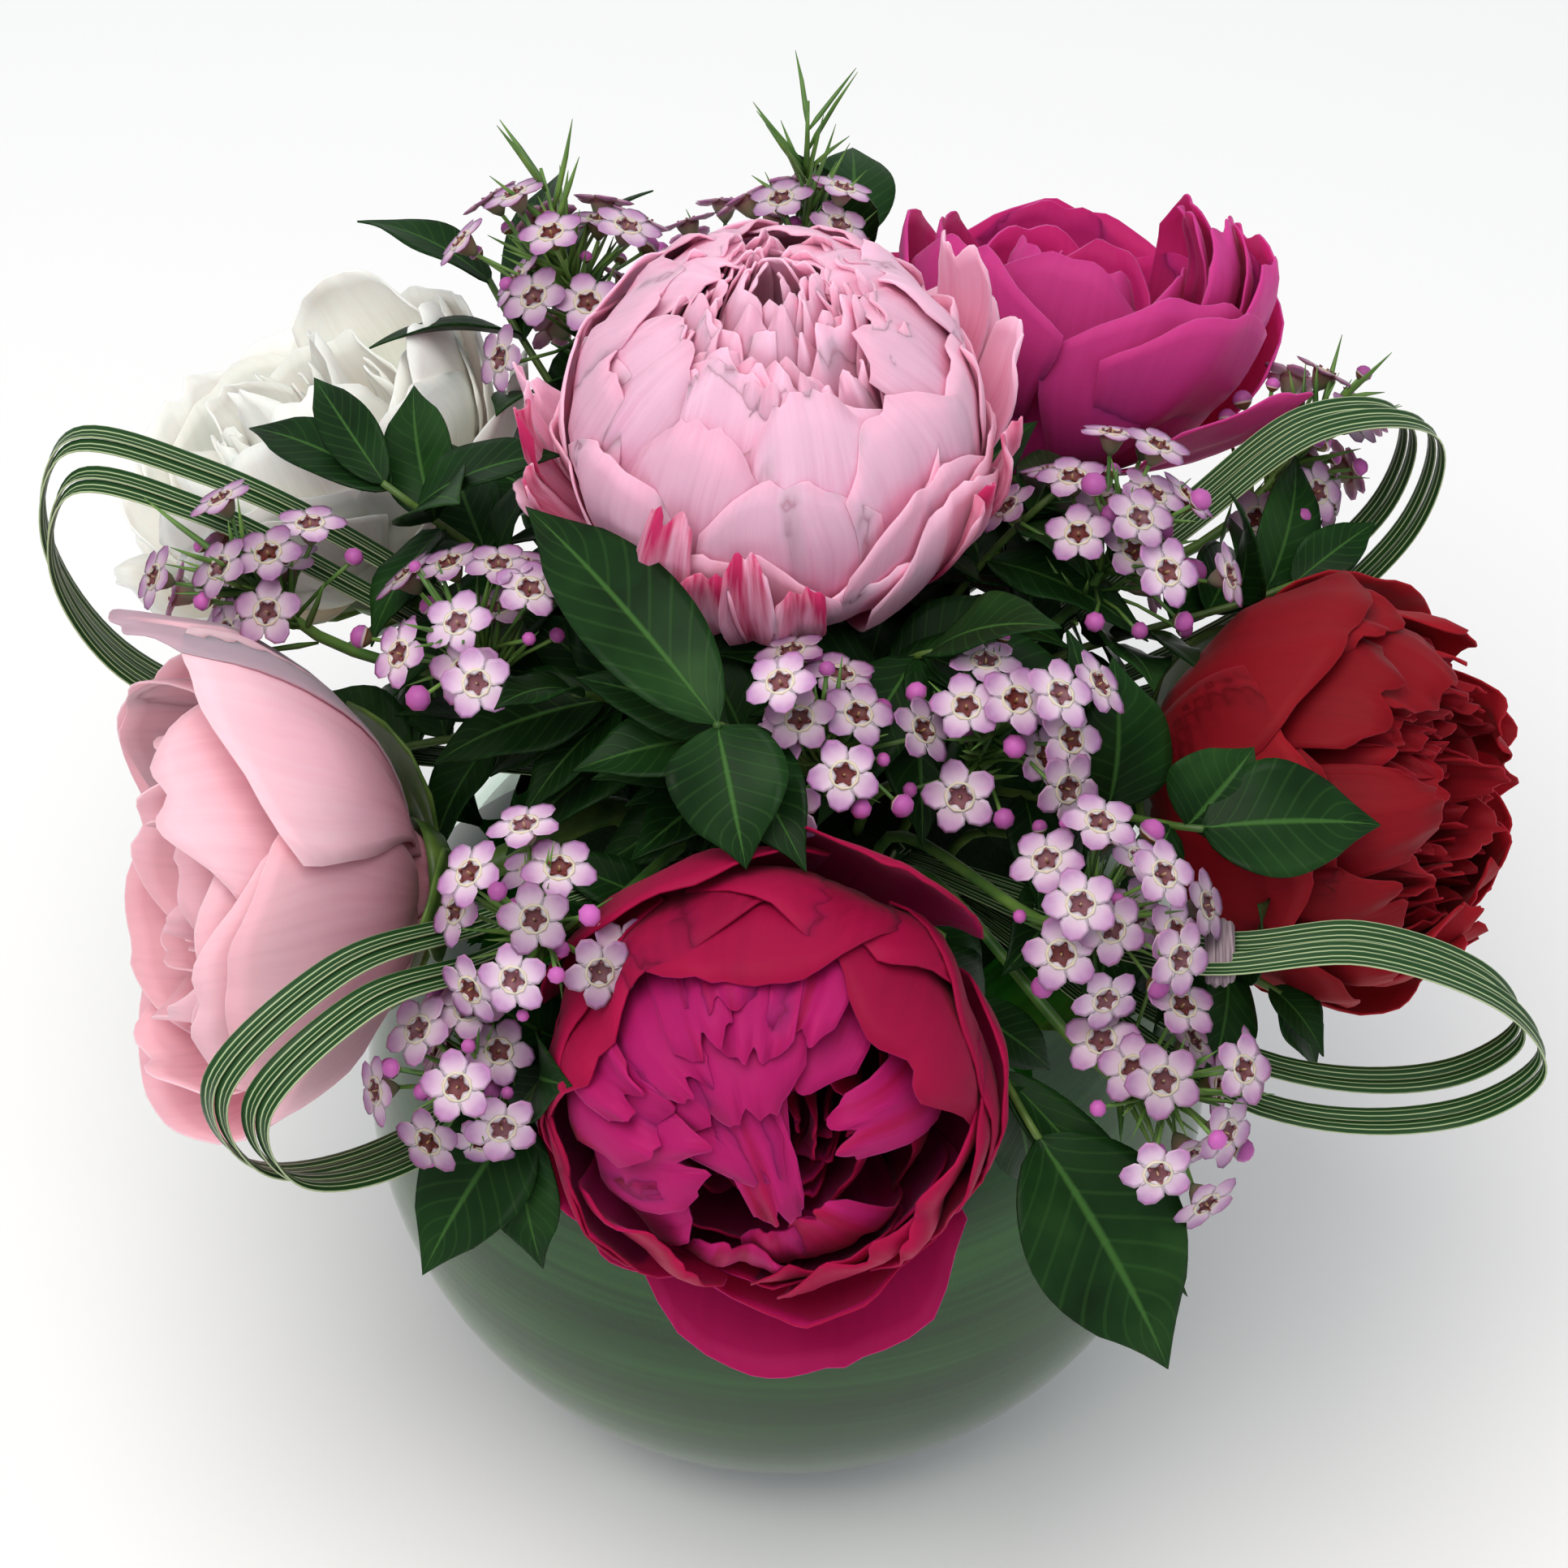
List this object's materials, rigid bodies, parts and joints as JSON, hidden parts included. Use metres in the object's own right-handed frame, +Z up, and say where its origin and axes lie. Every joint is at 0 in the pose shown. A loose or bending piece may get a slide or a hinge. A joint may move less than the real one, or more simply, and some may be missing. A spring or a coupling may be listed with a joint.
{
  "type": "floral table centerpiece",
  "caption": "Low round centerpiece of open peonies, waxflower, leafy stems and looped lily grass in floral foam, in a leaf-lined glass bubble bowl",
  "frame": {"origin": "centre of the bowl's flat foot, where it rests on the table", "axes": "+Z up; the arrangement's front, with the fuchsia bloom, faces -Y; +X is to the right as seen from the front"},
  "size_m": [0.317, 0.3153, 0.3127],
  "materials": {
    "glass": "clear blown glass, fire-polished lip",
    "lining_leaf": "waxy fresh leaf, satin",
    "floral_foam": "soaked floral foam, matt",
    "peony_stem": "fresh green stem, satin",
    "blush_petals": "soft silky petals, blush pink",
    "fuchsia_petals": "soft silky petals, deep fuchsia",
    "shell_petals": "soft silky petals, shell pink",
    "crimson_petals": "velvety petals, dark crimson",
    "magenta_petals": "soft silky petals, magenta",
    "white_petals": "soft silky petals, ivory white",
    "lily_grass": "smooth blade, dark green with cream stripes",
    "foliage": "leathery leaf, satin",
    "waxflower": "waxy petals, pale lilac"
  },
  "bodies": {
    "root": {"bowl": "glass", "lining_leaf_front": "lining_leaf", "lining_leaf_back": "lining_leaf", "peony_blush": "blush_petals", "peony_blush_stem": "peony_stem", "peony_fuchsia": "fuchsia_petals", "peony_fuchsia_stem": "peony_stem", "peony_shell": "shell_petals", "peony_shell_stem": "peony_stem", "peony_crimson": "crimson_petals", "peony_crimson_stem": "peony_stem", "peony_magenta": "magenta_petals", "peony_magenta_stem": "peony_stem", "peony_white": "white_petals", "peony_white_stem": "peony_stem", "lily_grass_front_left": "lily_grass", "lily_grass_front_right": "lily_grass", "lily_grass_back_left": "lily_grass", "lily_grass_back_right": "lily_grass", "waxflower_top_left": "waxflower", "waxflower_top_back": "waxflower", "waxflower_left": "waxflower", "waxflower_left_inner": "waxflower", "waxflower_centre": "waxflower", "waxflower_centre_right": "waxflower", "waxflower_right_upper": "waxflower", "waxflower_right_far": "waxflower", "waxflower_front_left": "waxflower", "waxflower_front_left_low": "waxflower", "waxflower_front_right": "waxflower", "waxflower_front_right_low": "waxflower", "waxflower_back": "waxflower", "leaves_front_right": "foliage", "leaves_right_front": "foliage", "leaves_centre": "foliage", "leaves_left_back": "foliage", "leaves_back_left": "foliage", "leaves_front_left": "foliage", "leaves_right_low": "foliage", "leaves_right_inner": "foliage", "leaves_right_back": "foliage", "leaves_centre_right": "foliage", "leaves_centre_left": "foliage", "leaves_inner_left": "foliage", "leaves_inner_right": "foliage", "leaves_back_right": "foliage", "leaves_left_low": "foliage", "leaves_back_low": "foliage", "leaves_back_left_low": "foliage", "floral_foam": "floral_foam"}
  },
  "joints": []
}
